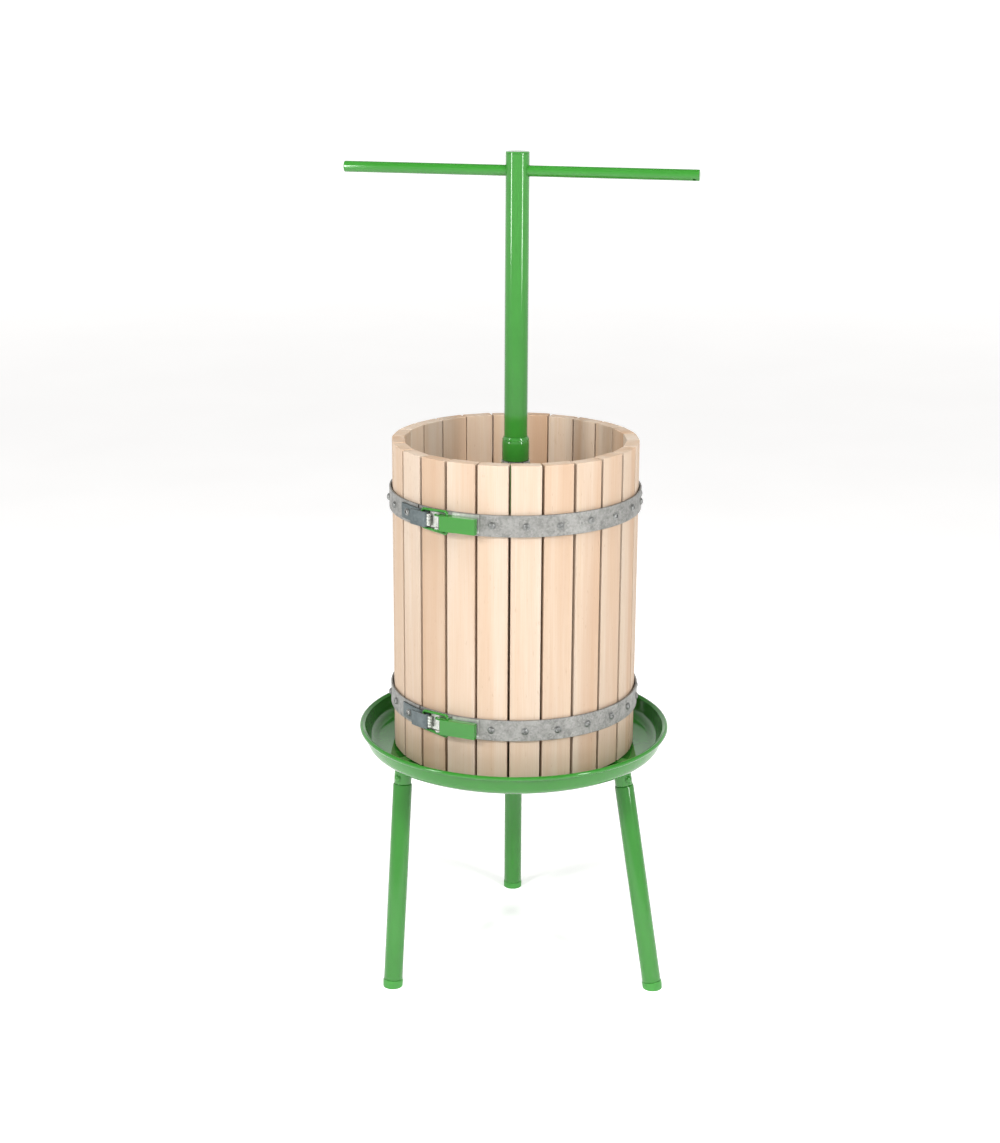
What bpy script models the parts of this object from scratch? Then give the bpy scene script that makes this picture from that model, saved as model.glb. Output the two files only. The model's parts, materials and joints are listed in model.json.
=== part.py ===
"""Basket wine press: a steel pan on three legs, a slatted wooden basket and a screw press.

Units are metres, +Z is up and the origin is on the floor under the spindle.
Azimuths are in degrees about +Z, measured from the front (-Y) towards +X.
"""

import math

import bmesh
import bpy
from mathutils import Matrix, Vector

# ---------------------------------------------------------------- driving dimensions
GAP = 0.0003                    # clearance between touching pieces

RIM_Z = 0.335                   # top of the pan's rim above the floor
RIM_RADIUS = 0.2055
PAN_DEPTH = 0.027               # rim down to the pan's floor
SHEET = 0.002                   # pan's sheet thickness
RIB_COUNT = 6
RIB_HEIGHT = 0.003

BASKET_RADIUS = 0.160           # outer corners of the slats
BASKET_HEIGHT = 0.4105
SLAT_COUNT = 24
SLAT_THICKNESS = 0.0165
SLAT_GAP = 0.0036                # between neighbouring slats, on the outside
INNER_GAP = 0.0014              # the same on the inside
FIRST_GAP = -2.5                # azimuth of the slat gap nearest to the front

HOOP_HEIGHTS = {"upper": 0.6469, "lower": 0.3809}
HOOP_WIDTH = 0.0275
HOOP_THICKNESS = 0.0025
SPLIT = -47.5                   # azimuth where the clasps close the two basket halves
SCREW_HEAD_RADIUS = 0.0048
SCREW_HEAD_HEIGHT = 0.0030

SPINDLE_RADIUS = 0.011
SPINDLE_TOP = RIM_Z + 0.430
NUT_BOTTOM = RIM_Z + 0.358
NUT_TOP = RIM_Z + 0.3895
NUT_RADIUS = 0.0176
WASHER_RADIUS = 0.0185
TUBE_RADIUS = 0.015
TUBE_WALL = 0.0025
TUBE_TOP = RIM_Z + 0.749
BAR_RADIUS = 0.007
BAR_LENGTH = 0.450
BAR_Z = RIM_Z + 0.7253
BAR_AZIMUTH = -12.0             # turn of the handle bar about +Z
BAR_OFFSET = 0.002              # the bar stands this far out to the right
PLATE_TOP = RIM_Z + 0.300
PLATE_THICKNESS = 0.025
PLATE_RADIUS = 0.137

LEG_RADIUS = 0.0125
LEG_TOP_RADIUS = 0.167          # distance of a leg's top from the spindle
LEG_TOP_Z = RIM_Z - 0.0575
LEG_FEET = {                    # azimuth of the top, then x and y where the foot stands
    "left": (-60.0, -0.1585, -0.1120),
    "right": (60.0, 0.1870, -0.1115),
    "rear": (180.0, 0.0, 0.2035),
}
OUTLET_AZIMUTH = 150.0
OUTLET_DISTANCE = 0.170

PIVOT = -33.5                   # azimuth of a clasp lever's pivot
PIVOT_DISTANCE = 0.1715
LEVER_TILT = 10.1               # the closed lever leans towards the basket by this angle
LEVER_LENGTH = 0.052
LEVER_WIDTH = 0.0196
BASE_SPAN = (-39.5, -15.5)      # azimuths of the ends of the lever's base plate
BASE_TOP = 0.0130               # the plate's taller part, above the hoop's middle
CRANK = 0.012                   # lever pivot to bail pivot
BAIL_WIRE = 0.00175
BAIL_CATCH = (0.1671, -43.5)    # distance and azimuth of the bail's cross-wire


# ---------------------------------------------------------------- helpers
def material(name, colour, roughness, metallic=0.0):
    made = bpy.data.materials.new(name)
    made.use_nodes = True
    shader = made.node_tree.nodes["Principled BSDF"]
    shader.inputs["Base Color"].default_value = (*colour, 1.0)
    shader.inputs["Roughness"].default_value = roughness
    shader.inputs["Metallic"].default_value = metallic
    made.diffuse_color = (*colour, 1.0)
    return made


def polar(distance, azimuth):
    """Plan position at a distance from the spindle and an azimuth in degrees."""
    angle = math.radians(azimuth)
    return distance * math.sin(angle), -distance * math.cos(angle)


def turn(azimuth):
    return Matrix.Rotation(math.radians(azimuth), 4, "Z")


def arc(distance, start, end, step=3.0):
    """Plan points along a circle about the spindle."""
    count = max(1, round(abs(end - start) / step))
    return [polar(distance, start + (end - start) * i / count) for i in range(count + 1)]


def circle(radius, sides, centre=(0.0, 0.0)):
    return [
        (
            centre[0] + radius * math.cos(2 * math.pi * i / sides),
            centre[1] + radius * math.sin(2 * math.pi * i / sides),
        )
        for i in range(sides)
    ]


def add_object(name, mesh, slot, place=Matrix.Identity(4)):
    made = bpy.data.objects.new(name, mesh)
    made.matrix_world = place
    if slot:
        mesh.materials.append(slot)
    bpy.context.scene.collection.objects.link(made)
    return made


def finish_mesh(name, bm):
    bmesh.ops.remove_doubles(bm, verts=bm.verts, dist=1e-6)
    bmesh.ops.dissolve_degenerate(bm, edges=bm.edges, dist=1e-7)
    bmesh.ops.recalc_face_normals(bm, faces=bm.faces)
    mesh = bpy.data.meshes.new(name)
    bm.to_mesh(mesh)
    bm.free()
    mesh.shade_smooth()
    mesh.set_sharp_from_angle(angle=math.radians(35))
    return mesh


def prism(name, outline, low, high, slot=None, place=Matrix.Identity(4)):
    """A plan outline extruded from one height to another."""
    bm = bmesh.new()
    face = bm.faces.new([bm.verts.new((x, y, low)) for x, y in outline])
    grown = bmesh.ops.extrude_face_region(bm, geom=[face])["geom"]
    top = [g for g in grown if isinstance(g, bmesh.types.BMVert)]
    bmesh.ops.translate(bm, verts=top, vec=(0.0, 0.0, high - low))
    return add_object(name, finish_mesh(name, bm), slot, place)


def turned(name, profile, slot=None, place=Matrix.Identity(4), sides=24, closed=True):
    """A profile of (radius, height) points turned about its own Z axis."""
    bm = bmesh.new()
    verts = [bm.verts.new((radius, 0.0, height)) for radius, height in profile]
    pairs = list(zip(verts, verts[1:]))
    if closed:
        pairs.append((verts[-1], verts[0]))
    edges = [bm.edges.new(pair) for pair in pairs]
    bmesh.ops.spin(
        bm, geom=verts + edges, cent=(0, 0, 0), axis=(0, 0, 1),
        angle=2 * math.pi, steps=sides, use_merge=True,
    )
    return add_object(name, finish_mesh(name, bm), slot, place)


def rod(name, radius, low, high, slot=None, place=Matrix.Identity(4), sides=16):
    """A solid round bar along its own Z axis."""
    return turned(
        name, [(0.0, low), (radius, low), (radius, high), (0.0, high)],
        slot, place, sides, closed=False,
    )


def ring(name, inner, outer, low, high, slot=None, place=Matrix.Identity(4), sides=24):
    """A tube or washer along its own Z axis."""
    return turned(
        name, [(inner, low), (outer, low), (outer, high), (inner, high)], slot, place, sides
    )


def combine(target, operation, tools):
    """Boolean each tool with the target; the tools stay as hidden guides."""
    for tool in tools:
        tool.hide_render = True
        tool.display_type = "WIRE"
        step = target.modifiers.new(operation.title(), "BOOLEAN")
        step.operation = operation
        step.solver = "EXACT"
        step.object = tool
    return target


def along(start, end):
    """A frame whose Z axis runs from one point towards another."""
    direction = Vector(end) - Vector(start)
    return Matrix.Translation(start) @ direction.to_track_quat("Z", "X").to_matrix().to_4x4()


# ---------------------------------------------------------------- pan and outlet
def make_pan(paint):
    floor = RIM_Z - PAN_DEPTH
    profile = [
        (SPINDLE_RADIUS + GAP, floor),
        (0.1840, floor),
        (0.1895, floor + 0.0020),
        (0.1940, floor + 0.0065),
        (0.1962, floor + 0.0125),
        (0.1985, RIM_Z - 0.0022),
        (0.2000, RIM_Z - 0.0004),
        (0.2028, RIM_Z),
        (0.2047, RIM_Z - 0.0009),
        (RIM_RADIUS, RIM_Z - 0.0028),
        (0.2047, RIM_Z - 0.0048),
        (0.2024, RIM_Z - 0.0057),
        (0.2002, RIM_Z - 0.0060),
        (0.1982, floor + 0.0118),
        (0.1955, floor + 0.0045),
        (0.1905, floor - 0.0004),
        (0.1850, floor - SHEET),
        (SPINDLE_RADIUS + GAP, floor - SHEET),
    ]
    pan = turned("pan", profile, paint, sides=48)
    ribs = []
    for index in range(RIB_COUNT):
        place = turn(index * 360.0 / RIB_COUNT)
        outline = [
            (-0.0060, -0.048), (-0.0035, -0.044), (0.0035, -0.044), (0.0060, -0.048),
            (0.0070, -0.171), (0.0040, -0.178), (-0.0040, -0.178), (-0.0070, -0.171),
        ]
        low = floor - SHEET / 2
        ribs.append(prism(f"rib_{index}", outline, low, floor + RIB_HEIGHT, place=place))
    combine(pan, "UNION", ribs)
    x, y = polar(OUTLET_DISTANCE, OUTLET_AZIMUTH)
    drain = rod("drain_cut", 0.0085, floor - 0.01, floor + 0.01, sides=20)
    drain.location = (x, y, 0.0)
    combine(pan, "DIFFERENCE", [drain])

    top = floor - SHEET - GAP
    outlet = turned(
        "outlet_pipe",
        [
            (0.0085, top), (0.0150, top), (0.0150, top - 0.002), (0.0107, top - 0.003),
            (0.0107, top - 0.055), (0.0085, top - 0.055),
        ],
        paint, sides=24,
    )
    outlet.location = (x, y, 0.0)


# ---------------------------------------------------------------- legs
def make_leg(side, paint, plastic):
    azimuth, foot_x, foot_y = LEG_FEET[side]
    top = Vector((*polar(LEG_TOP_RADIUS, azimuth), LEG_TOP_Z))
    foot = Vector((foot_x, foot_y, 0.0))
    pan_bottom = RIM_Z - PAN_DEPTH - SHEET
    up = along(foot, top)
    length = (top - foot).length
    plug = 0.010                            # height of the foot cap below the tube

    turned(
        f"leg_{side}",
        [
            (0.0105, plug + GAP), (LEG_RADIUS, plug + GAP), (LEG_RADIUS, length - 0.001),
            (0.0118, length), (0.0092, length), (0.0092, length + 0.022), (0.0, length + 0.022),
            (0.0, length - 0.020), (0.0105, length - 0.022),
        ],
        paint, up, sides=20,
    )

    socket = ring(
        f"leg_socket_{side}", 0.0095, 0.0115, length + GAP, length + 0.040, paint, up, sides=20
    )
    above = prism(
        f"socket_trim_{side}", circle(0.03, 8, tuple(top[:2])), pan_bottom - GAP, RIM_Z + 0.05
    )
    combine(socket, "DIFFERENCE", [above])
    outwards = up.to_3x3().inverted() @ Vector((*polar(1.0, azimuth * 0.6), 0.0))
    outwards = Vector((outwards.x, outwards.y, 0.0)).normalized()
    bolt_frame = up @ along((0.0, 0.0, length + 0.009), Vector((0, 0, length + 0.009)) + outwards)
    bolt = turned(
        f"leg_bolt_{side}",
        [(0.0, 0.0095), (0.0050, 0.0108), (0.0050, 0.0122), (0.0032, 0.0140), (0.0, 0.0146)],
        None, bolt_frame, sides=12, closed=False,
    )
    combine(socket, "UNION", [bolt])

    cap = turned(
        f"leg_cap_{side}",
        [
            (0.0, -0.006), (0.0105, -0.006), (0.0128, -0.0005), (0.0130, plug - 0.001),
            (0.0122, plug), (0.0100, plug), (0.0098, plug + 0.012), (0.0, plug + 0.012),
        ],
        plastic, up, sides=20, closed=False,
    )
    floor_cut = prism(f"floor_cut_{side}", circle(0.03, 8, (foot_x, foot_y)), -0.03, 0.0)
    combine(cap, "DIFFERENCE", [floor_cut])


# ---------------------------------------------------------------- basket
def make_slat(index, wood):
    pitch = 360.0 / SLAT_COUNT
    half = math.radians(pitch / 2)
    outer_half = BASKET_RADIUS * math.sin(half) - SLAT_GAP / 2
    face = math.sqrt(BASKET_RADIUS ** 2 - outer_half ** 2)
    back = face - SLAT_THICKNESS
    inner_half = back * math.tan(half) - INNER_GAP / 2
    chamfer = 0.0010
    outline = [
        (-outer_half + chamfer, -face), (outer_half - chamfer, -face),
        (outer_half, -face + chamfer), (inner_half, -back),
        (-inner_half, -back), (-outer_half, -face + chamfer),
    ]
    bottom = RIM_Z - PAN_DEPTH + RIB_HEIGHT + GAP
    place = turn(FIRST_GAP + pitch * (index + 0.5))
    prism(f"slat_{index + 1:02d}", outline, bottom, bottom + BASKET_HEIGHT, wood, place)


def make_hoop(level, zinc, steel):
    """One hoop: two half bands, hinged on a pin opposite the clasp."""
    middle = HOOP_HEIGHTS[level]
    low, high = middle - HOOP_WIDTH / 2, middle + HOOP_WIDTH / 2
    inner = BASKET_RADIUS + 2 * GAP
    outer = inner + HOOP_THICKNESS
    hinge = SPLIT + 180.0
    pin_place = polar(outer + 0.0056, hinge)
    knuckle = 0.0048
    ears = {"right": [(low, middle - 0.0053), (middle + 0.0053, high)],
            "left": [(middle - 0.005, middle + 0.005)]}
    spans = {"right": (SPLIT + 0.35, hinge - 0.7), "left": (SPLIT - 0.35, hinge - 359.3)}
    clasp_covers = (-61.0, -20.0)

    for side, (start, end) in spans.items():
        name = f"hoop_{level}_{side}"
        outline = arc(outer, start, end, 5.0) + arc(inner, end, start, 5.0)
        band = prism(name, outline, low, high, zinc)
        lean = -1 if side == "right" else 1
        leaf = (
            [polar(outer - 0.001, hinge + lean * 5.0), polar(outer + 0.0012, hinge + lean * 5.0)]
            + [polar(outer + 0.0056 + knuckle, hinge + lean * 0.8)]
            + [polar(outer + 0.0012, hinge + lean * 0.4), polar(outer - 0.001, hinge + lean * 1.0)]
        )
        tools = []
        for number, (ear_low, ear_high) in enumerate(ears[side]):
            tools.append(prism(f"leaf_{name}_{number}", leaf, ear_low, ear_high))
            tools.append(
                prism(f"knuckle_{name}_{number}", circle(knuckle, 16, pin_place), ear_low, ear_high)
            )
        pitch = 360.0 / SLAT_COUNT
        for index in range(SLAT_COUNT):
            azimuth = (FIRST_GAP + pitch * (index + 0.5) - SPLIT) % 360.0 + SPLIT
            mine = azimuth < hinge if side == "right" else azimuth > hinge
            folded = azimuth if azimuth < hinge else azimuth - 360.0
            if not mine or clasp_covers[0] < folded < clasp_covers[1]:
                continue
            x, y = polar(1.0, azimuth)
            foot = Vector((x * (outer - 0.001), y * (outer - 0.001), middle))
            place = along(foot, foot + Vector((x, y, 0.0)))
            rise = 0.001 + SCREW_HEAD_HEIGHT
            head = turned(
                f"screw_{name}_{index}",
                [
                    (0.0, 0.0), (SCREW_HEAD_RADIUS, 0.0), (SCREW_HEAD_RADIUS, 0.0018),
                    (SCREW_HEAD_RADIUS * 0.72, rise * 0.85), (0.0, rise),
                ],
                None, place, sides=8, closed=False,
            )
            tools.append(head)
        combine(band, "UNION", tools)
        bore = prism(f"bore_{name}", circle(0.0026, 12, pin_place), low - 0.01, high + 0.01)
        combine(band, "DIFFERENCE", [bore])

    pin = turned(
        f"hinge_pin_{level}",
        [
            (0.0, low - 0.002), (0.0022, low - 0.002), (0.0022, high + GAP),
            (0.0040, high + GAP), (0.0040, high + 0.0012), (0.0030, high + 0.0024),
            (0.0, high + 0.0024),
        ],
        steel, sides=12, closed=False,
    )
    pin.location = (*pin_place, 0.0)


# ---------------------------------------------------------------- clasps
def make_clasp(level, zinc, paint):
    """One over-centre clasp: hook, bracket, lever and wire bail."""
    middle = HOOP_HEIGHTS[level]
    seat = BASKET_RADIUS + 2 * GAP + HOOP_THICKNESS + GAP
    plate = 0.0017
    room = 0.0065                           # space for the wire between hook and base
    half = LEVER_WIDTH / 2

    tip, fold, tail = -49.5, -41.0, -60.0
    bend = math.degrees(plate / seat)
    flap = seat + plate + room
    outline = (
        arc(seat, tail, fold - 0.4)
        + [polar(seat + 0.0012, fold), polar(flap + plate - 0.0012, fold)]
        + arc(flap + plate, fold - 0.4, tip)
        + arc(flap, tip, fold - bend - 0.2)
        + [polar(flap - 0.0010, fold - bend), polar(seat + plate + 0.0010, fold - bend)]
        + arc(seat + plate, fold - bend - 0.2, tail)
    )
    prism(f"clasp_hook_{level}", outline, middle - half, middle + half, zinc)

    pivot = polar(PIVOT_DISTANCE, PIVOT)
    frame = Matrix.Translation((*pivot, middle)) @ turn(PIVOT)
    start, end = BASE_SPAN
    base = arc(seat, start, end) + arc(seat + plate, end, start)
    bracket = prism(f"clasp_bracket_{level}", base, middle - half, middle + half, zinc)
    tab = arc(seat, -28.0, end) + arc(seat + plate, end, -28.0)
    foot = PIVOT_DISTANCE - seat - plate / 2
    ear = [(-0.0065, foot), (0.0065, foot), (0.0042, 0.0012)]
    ear += [(0.0044 * math.cos(a), -0.0044 * math.sin(a)) for a in (0.3, 0.9, 1.57, 2.24, 2.84)]
    ear += [(-0.0042, 0.0012)]
    inside = half - 0.0015
    ears = [
        prism(f"tab_{level}", tab, middle, middle + BASE_TOP),
        prism(f"ear_{level}_top", ear, inside - 0.0016, inside, place=frame),
        prism(f"ear_{level}_bottom", ear, -inside, -inside + 0.0016, place=frame),
        rod(f"pin_{level}", 0.0020, -half - 0.0006, half + 0.0006, place=frame, sides=12),
    ]
    combine(bracket, "UNION", ears)

    lever_frame = frame @ turn(LEVER_TILT)
    shell = [
        (-0.0046, 0.0020), (-0.0030, 0.0040), (0.0, 0.0050), (0.0120, 0.0046),
        (0.0200, 0.0030), (LEVER_LENGTH, 0.0006), (LEVER_LENGTH, -0.0060),
        (LEVER_LENGTH - 0.0010, -0.0066), (0.0042, -0.0066), (0.0038, -0.0052),
        (0.0, -0.0050), (-0.0036, -0.0036), (-0.0050, 0.0),
    ]
    lever = prism(f"clasp_lever_{level}", shell, -half, half, paint, lever_frame)
    skin = 0.0012
    pocket = [(-0.02, 0.02), (LEVER_LENGTH + 0.01, 0.02), (LEVER_LENGTH + 0.01, -0.0052),
              (0.0038, -0.0052), (-0.02, -0.0052)]
    cuts = [
        prism(f"pocket_{level}", pocket, -half + skin, half - skin, place=lever_frame),
        rod(f"pivot_bore_{level}", 0.0024, -0.03, 0.03, place=lever_frame, sides=12),
        rod(f"bail_bore_{level}", 0.0022, -0.03, 0.03, sides=12,
            place=lever_frame @ Matrix.Translation((CRANK, 0.0, 0.0))),
    ]
    combine(lever, "DIFFERENCE", cuts)

    start = lever_frame @ Vector((CRANK, 0.0, 0.0))
    catch = Vector((*polar(*BAIL_CATCH), middle))
    reach = Vector((catch.x - start.x, catch.y - start.y, 0.0))
    wide, narrow, corner = 0.0140, 0.0119, 0.0035
    run = reach.length
    half_route = [
        (0.0, 0.0072), (0.0, wide - corner), (0.0004, wide - 0.0010), (corner, wide),
        (run * 0.5, (wide + narrow) / 2), (run - corner, narrow), (run - 0.0010, narrow - 0.0010),
        (run, narrow - corner),
    ]
    route = half_route + [(along_run, -side) for along_run, side in reversed(half_route)]
    curve = bpy.data.curves.new(f"clasp_bail_{level}", "CURVE")
    curve.dimensions = "3D"
    curve.bevel_depth = BAIL_WIRE
    curve.bevel_resolution = 2
    curve.use_fill_caps = True
    line = curve.splines.new("POLY")
    line.points.add(len(route) - 1)
    for point, (along_run, side) in zip(line.points, route):
        point.co = (along_run, 0.0, side, 1.0)
    curve.materials.append(paint)
    bail = bpy.data.objects.new(f"clasp_bail_{level}", curve)
    heading = math.atan2(reach.y, reach.x)
    bail.matrix_world = Matrix.Translation(start) @ Matrix.Rotation(heading, 4, "Z")
    bpy.context.scene.collection.objects.link(bail)


# ---------------------------------------------------------------- screw press
def make_screw(paint, steel, zinc, wood):
    pan_bottom = RIM_Z - PAN_DEPTH - SHEET
    floor = RIM_Z - PAN_DEPTH
    rod("spindle", SPINDLE_RADIUS, pan_bottom - 0.030, SPINDLE_TOP, steel, sides=24)
    ring("spindle_flange", SPINDLE_RADIUS + GAP, 0.036, floor + GAP, floor + 0.0045, steel)
    nut = prism(
        "spindle_nut", circle(0.0196, 6), pan_bottom - GAP - 0.018, pan_bottom - GAP, zinc
    )
    bore = prism("spindle_nut_bore", circle(SPINDLE_RADIUS + GAP, 24), 0.0, RIM_Z)
    combine(nut, "DIFFERENCE", [bore])

    inside = SPINDLE_RADIUS + GAP
    turned(
        "press_nut",
        [
            (inside, NUT_BOTTOM), (NUT_RADIUS - 0.0012, NUT_BOTTOM),
            (NUT_RADIUS, NUT_BOTTOM + 0.0012), (NUT_RADIUS, NUT_TOP - 0.0070),
            (TUBE_RADIUS + 0.0006, NUT_TOP), (inside, NUT_TOP),
        ],
        paint,
    )
    bar_frame = Matrix.Translation((0.0, 0.0, BAR_Z)) @ turn(BAR_AZIMUTH)
    sideways = bar_frame @ Matrix.Rotation(math.radians(90), 4, "Y")
    tube = ring(
        "press_tube", TUBE_RADIUS - TUBE_WALL, TUBE_RADIUS, NUT_TOP + GAP, TUBE_TOP - 0.0023,
        paint,
    )
    cross_hole = rod("cross_hole", BAR_RADIUS + GAP, -0.05, 0.05, place=sideways, sides=24)
    combine(tube, "DIFFERENCE", [cross_hole])
    turned(
        "tube_cap",
        [
            (0.0, TUBE_TOP - 0.008), (0.0120, TUBE_TOP - 0.008), (0.0120, TUBE_TOP - 0.002),
            (TUBE_RADIUS, TUBE_TOP - 0.002), (TUBE_RADIUS, TUBE_TOP - 0.0008),
            (TUBE_RADIUS - 0.0010, TUBE_TOP), (0.0, TUBE_TOP),
        ],
        paint, closed=False,
    )
    end = BAR_LENGTH / 2
    bar = turned(
        "handle_bar",
        [
            (0.0, BAR_OFFSET - end), (BAR_RADIUS - 0.0010, BAR_OFFSET - end),
            (BAR_RADIUS, BAR_OFFSET - end + 0.0010), (BAR_RADIUS, BAR_OFFSET + end - 0.0010),
            (BAR_RADIUS - 0.0010, BAR_OFFSET + end), (0.0, BAR_OFFSET + end),
        ],
        paint, sideways, sides=24, closed=False,
    )
    pin_hole = rod(
        "bar_pin_hole", 0.0020, -0.02, 0.02, sides=10,
        place=sideways @ Matrix.Translation((0, 0, BAR_OFFSET + end - 0.006))
        @ Matrix.Rotation(math.radians(50), 4, "Z") @ Matrix.Rotation(math.radians(90), 4, "X"),
    )
    combine(bar, "DIFFERENCE", [pin_hole])

    clear = SPINDLE_RADIUS + 2 * GAP
    washer_top = NUT_BOTTOM - GAP
    ring("thrust_washer", clear, WASHER_RADIUS, washer_top - 0.003, washer_top, zinc)
    hub_top = washer_top - 0.003 - GAP
    hub_bottom = PLATE_TOP + GAP
    turned(
        "pressure_hub",
        [
            (clear, hub_bottom), (0.055, hub_bottom), (0.055, hub_bottom + 0.0045),
            (0.022, hub_bottom + 0.0060), (0.019, hub_bottom + 0.0090),
            (0.019, hub_top - 0.001), (0.018, hub_top), (clear, hub_top),
        ],
        paint,
    )
    slit = 0.001
    hole = 0.0130
    for side, sign in (("front", -1), ("rear", 1)):
        rim = math.degrees(math.asin(slit / PLATE_RADIUS))
        eye = math.degrees(math.asin(slit / hole))
        middle = 0.0 if side == "front" else 180.0
        outline = arc(PLATE_RADIUS, middle - 90 + rim, middle + 90 - rim, 7.5)
        outline += arc(hole, middle + 90 - eye, middle - 90 + eye, 30.0)
        prism(f"press_plate_{side}", outline, PLATE_TOP - PLATE_THICKNESS, PLATE_TOP, wood)


# ---------------------------------------------------------------- assembly
def main():
    for old in list(bpy.data.objects):
        bpy.data.objects.remove(old, do_unlink=True)
    paint = material("green_paint", (0.075, 0.340, 0.060), 0.35)
    wood = material("beech", (0.780, 0.570, 0.360), 0.65)
    zinc = material("galvanised", (0.560, 0.560, 0.570), 0.42, 0.85)
    steel = material("bare_steel", (0.420, 0.420, 0.430), 0.35, 0.95)
    plastic = material("green_plastic", (0.060, 0.260, 0.050), 0.50)

    make_pan(paint)
    for side in LEG_FEET:
        make_leg(side, paint, plastic)
    for index in range(SLAT_COUNT):
        make_slat(index, wood)
    for level in HOOP_HEIGHTS:
        make_hoop(level, zinc, steel)
        make_clasp(level, zinc, paint)
    make_screw(paint, steel, zinc, wood)


main()
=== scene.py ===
"""The looks of the basket wine press: its fine meshes, materials, light and camera.

Units are metres, +Z is up and the press stands on the floor with its spindle on the Z axis.
Azimuths are in degrees about +Z, measured from the front (-Y) towards +X.
"""

import json
import math
import random

import bmesh
import bpy
from mathutils import Matrix, Vector, noise


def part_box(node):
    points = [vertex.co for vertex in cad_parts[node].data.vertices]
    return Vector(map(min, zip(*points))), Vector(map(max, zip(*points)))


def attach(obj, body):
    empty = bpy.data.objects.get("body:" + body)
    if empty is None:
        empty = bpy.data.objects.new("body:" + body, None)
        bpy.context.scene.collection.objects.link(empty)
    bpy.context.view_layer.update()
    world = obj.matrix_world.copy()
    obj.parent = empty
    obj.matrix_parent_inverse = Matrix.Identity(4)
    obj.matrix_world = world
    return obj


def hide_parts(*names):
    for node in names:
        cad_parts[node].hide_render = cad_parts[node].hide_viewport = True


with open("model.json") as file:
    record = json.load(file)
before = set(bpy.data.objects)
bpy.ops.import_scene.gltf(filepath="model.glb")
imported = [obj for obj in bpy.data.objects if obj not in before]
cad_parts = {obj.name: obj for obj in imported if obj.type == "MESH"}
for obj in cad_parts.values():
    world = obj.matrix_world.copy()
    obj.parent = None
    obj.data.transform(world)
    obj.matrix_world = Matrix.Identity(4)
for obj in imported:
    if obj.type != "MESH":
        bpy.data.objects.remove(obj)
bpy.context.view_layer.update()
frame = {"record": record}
IDENTITY = Matrix.Identity(4)


def low(node):
    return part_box(node)[0]


def high(node):
    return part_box(node)[1]


def middle(node):
    return (low(node) + high(node)) / 2


# ---------------------------------------------------------------- measures from the frame
GAP = 0.0003
RIM_Z = high("pan").z
PAN_FLOOR = RIM_Z - 0.027
PAN_BOTTOM = low("pan").z
SLAT_COUNT = 24
SLAT_LOW = low("slat_01").z
SLAT_HIGH = high("slat_01").z
SLAT_GAP = 0.0036
INNER_GAP = 0.0014
SLAT_THICKNESS = 0.0165
FIRST_GAP = -2.5
BASKET_RADIUS = 0.160
LEVELS = {level: middle(f"clasp_hook_{level}").z for level in ("upper", "lower")}
HOOP_HALF = (high("hoop_upper_left").z - low("hoop_upper_left").z) / 2
HOOP_INNER = BASKET_RADIUS + 2 * GAP
HOOP_THICKNESS = 0.0025
HOOP_OUTER = HOOP_INNER + HOOP_THICKNESS
SPLIT = -47.5
HINGE = SPLIT + 180.0
SPINDLE_RADIUS = 0.011
TUBE_RADIUS = high("press_tube").x
TUBE_TOP = high("tube_cap").z
NUT_LOW = low("press_nut").z
NUT_HIGH = high("press_nut").z
NUT_RADIUS = 0.0176
TUBE_WALL = 0.0025
BAR_Z = middle("handle_bar").z
BAR_AZIMUTH = -12.0
BAR_RADIUS = 0.007
LEG_RADIUS = 0.0125
LEG_BORE = 0.0105
LEG_TOP = 0.2775
LEG_SPREAD = 0.167
STUB_RADIUS = 0.0115
LEG_SIDES = {"left": -60.0, "right": 60.0, "rear": 180.0}
FEET = {mount["name"]: Vector(mount["pos_m"]) for mount in frame["record"]["mounts"]}


# ---------------------------------------------------------------- geometry helpers
def polar(distance, azimuth, z=None):
    angle = math.radians(azimuth)
    plan = (distance * math.sin(angle), -distance * math.cos(angle))
    return plan if z is None else Vector((*plan, z))


def turn(azimuth):
    return Matrix.Rotation(math.radians(azimuth), 4, "Z")


def arc(distance, start, end, step=1.5):
    count = max(1, round(abs(end - start) / step))
    return [polar(distance, start + (end - start) * i / count) for i in range(count + 1)]


def circle(radius, sides, centre=(0.0, 0.0), start=0.0, sweep=2 * math.pi):
    return [
        (
            centre[0] + radius * math.cos(start + sweep * i / sides),
            centre[1] + radius * math.sin(start + sweep * i / sides),
        )
        for i in range(sides)
    ]


def along(start, end):
    """A frame at start whose Z axis runs towards end."""
    direction = Vector(end) - Vector(start)
    return Matrix.Translation(start) @ direction.to_track_quat("Z", "X").to_matrix().to_4x4()


def facing(azimuth, distance, z):
    """A frame on the basket's side: X sideways, Y up, Z straight out."""
    spot = polar(distance, azimuth, z)
    return along(spot, spot + polar(1.0, azimuth, 0.0))


def prism(outline, bottom, top, shrink=1.0):
    """A closed plan outline extruded upwards; shrink scales its top about the outline's middle."""
    bm = bmesh.new()
    face = bm.faces.new([bm.verts.new((x, y, bottom)) for x, y in outline])
    grown = bmesh.ops.extrude_face_region(bm, geom=[face])["geom"]
    centre = sum((Vector(point) for point in outline), Vector((0.0, 0.0))) / len(outline)
    for vert in (g for g in grown if isinstance(g, bmesh.types.BMVert)):
        vert.co.x = centre.x + (vert.co.x - centre.x) * shrink
        vert.co.y = centre.y + (vert.co.y - centre.y) * shrink
        vert.co.z = top
    bmesh.ops.recalc_face_normals(bm, faces=bm.faces)
    return bm


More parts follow.
